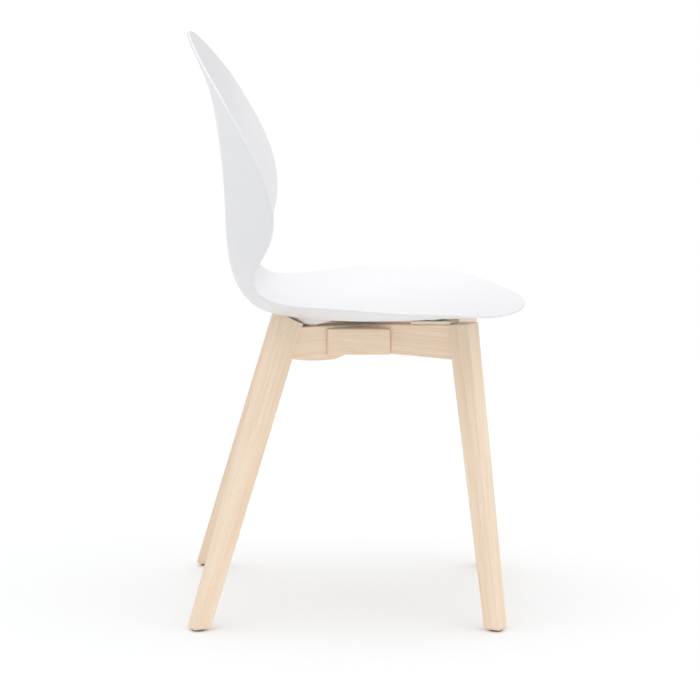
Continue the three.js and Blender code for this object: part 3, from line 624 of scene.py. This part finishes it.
# ---------------------------------------------------------------- operators
class ChairShell(bpy.types.Operator):
    """Build the moulded seat and back"""
    bl_idname = "chair.shell"
    bl_label = "Moulded shell"

    def execute(self, context):
        settings = context.scene.chair_shell
        mesh = shell_mesh(settings)
        mesh.materials.append(moulded_polypropylene(settings))
        piece = linked("moulded_shell", mesh)
        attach(piece, "root")
        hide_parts("seat_shell")
        return {"FINISHED"}


class ChairBase(bpy.types.Operator):
    """Build the four legs, the two crossed beams and the corner blocks"""
    bl_idname = "chair.base"
    bl_label = "Wooden base"

    def execute(self, context):
        settings = context.scene.chair_wood
        wood = planed_beech(settings)
        for board, corner in enumerate(CORNERS):
            self.leg(corner, board, settings, wood)
        for board, (side, sign) in enumerate(SIDES.items()):
            beam = placed_piece(f"planed_beam_front_{side}", joined_bmesh(f"beam_front_{side}"),
                                f"beam_front_{side}", wood)
            set_grain(beam, beam_direction(side), 5 + board, BOARD_PAINTED_LIGHT["beam"])
            block = placed_piece(f"planed_block_{side}", joined_bmesh(f"corner_block_{side}"),
                                 f"corner_block_{side}", wood)
            set_grain(block, (0.06 * sign, 1, 0.08), 8 + board, BOARD_PAINTED_LIGHT["block"])
        dowels = [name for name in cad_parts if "dowel" in name]
        dress(dowels, turned_dowel_beech(settings))
        return {"FINISHED"}

    def leg(self, corner, board, settings, wood):
        node = f"leg_{corner}"
        work = joined_bmesh(node)
        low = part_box(node)[0]
        glide_low, glide_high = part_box(f"glide_{corner}")
        foot = (glide_low + glide_high) / 2
        axis = leg_axis(corner)
        round_foot(work, Vector((foot.x, foot.y, low.z)), axis, settings.foot_rounding)
        piece = placed_piece(f"planed_leg_{corner}", work, node, wood)
        set_grain(piece, axis, board + 1, BOARD_PAINTED_LIGHT["leg"])


class ChairFittings(bpy.types.Operator):
    """Build the pads and glides, and finish the screws, washers, nails and inserts"""
    bl_idname = "chair.fittings"
    bl_label = "Pads, glides and fixings"

    def execute(self, context):
        settings = context.scene.chair_fittings
        pad = moulded_elastomer("elastomer_pad_moulded", settings.pad, 0.6, 0.9)
        glide = moulded_elastomer("polyamide_glide_moulded", settings.glide, 0.5, 0.7)
        for corner in CORNERS:
            self.soft(f"moulded_pad_{corner}", f"pad_{corner}", "pad_plastic", pad, settings)
            self.soft(f"moulded_glide_{corner}", f"glide_{corner}", "glide_plastic", glide, settings)
        names = list(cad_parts)
        steel = plated_metal("steel_zinc_plated", "#C9CCCF", "#A9ADB0", 0.32, 1.1)
        brass = plated_metal("brass_turned", "#D6B56A", "#B9954C", 0.3, 0.8)
        dress([n for n in names if n.startswith(("washer_", "shell_screw_", "glide_nail_", "lap_"))], steel)
        dress([n for n in names if n.startswith("shell_insert_")], brass)
        return {"FINISHED"}

    def soft(self, name, node, slot, material, settings):
        work = joined_bmesh(node)
        round_edges(work, settings.pad_rounding)
        placed_piece(name, work, node, material)


class ChairStage(bpy.types.Operator):
    """Lay the floor, hang the light and set the camera"""
    bl_idname = "chair.stage"
    bl_label = "Floor, light and camera"

    def execute(self, context):
        settings = context.scene.chair_stage
        self.floor(settings)
        self.light(context, settings)
        self.camera(context, settings)
        return {"FINISHED"}

    def floor(self, settings):
        reach = 30.0
        mesh = bpy.data.meshes.new("studio_floor")
        corners = [(-reach, -reach, 0), (reach, -reach, 0), (reach, reach, 0), (-reach, reach, 0)]
        mesh.from_pydata(corners, [], [(0, 1, 2, 3)])
        mesh.materials.append(studio_floor(settings))
        linked("studio_floor", mesh)

    def light(self, context, settings):
        world = bpy.data.worlds.new("studio_tent")
        world.use_nodes = True
        tree = world.node_tree
        tree.nodes.clear()
        facing = add_node(tree, "ShaderNodeSeparateXYZ", {
            "Vector": add_node(tree, "ShaderNodeTexCoord").outputs["Generated"]})
        strength = add_node(tree, "ShaderNodeMapRange", {
            "Value": facing.outputs["Z"], "To Min": settings.low_light, "To Max": settings.high_light})
        tent = add_node(tree, "ShaderNodeBackground", {
            "Color": (1, 1, 1, 1), "Strength": strength.outputs["Result"]})
        add_node(tree, "ShaderNodeOutputWorld", {"Surface": tent.outputs["Background"]})
        context.scene.world = world
        key = bpy.data.lights.new("key_lamp", "SUN")
        key.energy = settings.key_light
        key.angle = math.radians(40)
        lamp = bpy.data.objects.new("key_lamp", key)
        lamp.rotation_mode = "QUATERNION"
        lamp.rotation_quaternion = Vector((0.6, 0.75, -0.35)).to_track_quat("-Z", "Y")
        context.scene.collection.objects.link(lamp)

    def camera(self, context, settings):
        low, high = CAD_BOX
        data = bpy.data.cameras.new("studio_camera")
        data.sensor_width = 36.0
        data.lens = settings.lens
        data.clip_end = 100.0
        camera = bpy.data.objects.new("studio_camera", data)
        beside = (low.y + high.y) / 2 + settings.camera_aside
        camera.location = ((low.x + high.x) / 2 - settings.camera_distance, beside, settings.camera_height)
        camera.rotation_mode = "XYZ"
        camera.rotation_euler = (math.pi / 2 - settings.camera_tilt, 0, -math.pi / 2)
        context.scene.collection.objects.link(camera)
        context.scene.camera = camera
        context.scene.view_settings.view_transform = "Standard"


class ChairPanel(bpy.types.Panel):
    """The chair's settings and the steps that build it"""
    bl_idname = "VIEW3D_PT_dining_chair"
    bl_label = "Dining chair"
    bl_space_type = "VIEW_3D"
    bl_region_type = "UI"
    bl_category = "Chair"

    def draw(self, context):
        scene = context.scene
        for operator, settings in STEPS:
            box = self.layout.box()
            box.operator(operator.bl_idname)
            group = getattr(scene, settings)
            for name in group.__annotations__:
                box.prop(group, name)


SETTINGS = {
    "chair_shell": ChairShellSettings,
    "chair_wood": ChairWoodSettings,
    "chair_fittings": ChairFittingSettings,
    "chair_stage": ChairStageSettings,
}
STEPS = [
    (ChairShell, "chair_shell"),
    (ChairBase, "chair_wood"),
    (ChairFittings, "chair_fittings"),
    (ChairStage, "chair_stage"),
]


def register():
    for name, group in SETTINGS.items():
        bpy.utils.register_class(group)
        setattr(bpy.types.Scene, name, bpy.props.PointerProperty(type=group))
    for operator, _ in STEPS:
        bpy.utils.register_class(operator)
    bpy.utils.register_class(ChairPanel)


def unregister():
    bpy.utils.unregister_class(ChairPanel)
    for operator, _ in reversed(STEPS):
        bpy.utils.unregister_class(operator)
    for name, group in reversed(SETTINGS.items()):
        delattr(bpy.types.Scene, name)
        bpy.utils.unregister_class(group)


def main():
    register()
    bpy.ops.chair.shell()
    bpy.ops.chair.base()
    bpy.ops.chair.fittings()
    bpy.ops.chair.stage()


if __name__ == "__main__":
    main()
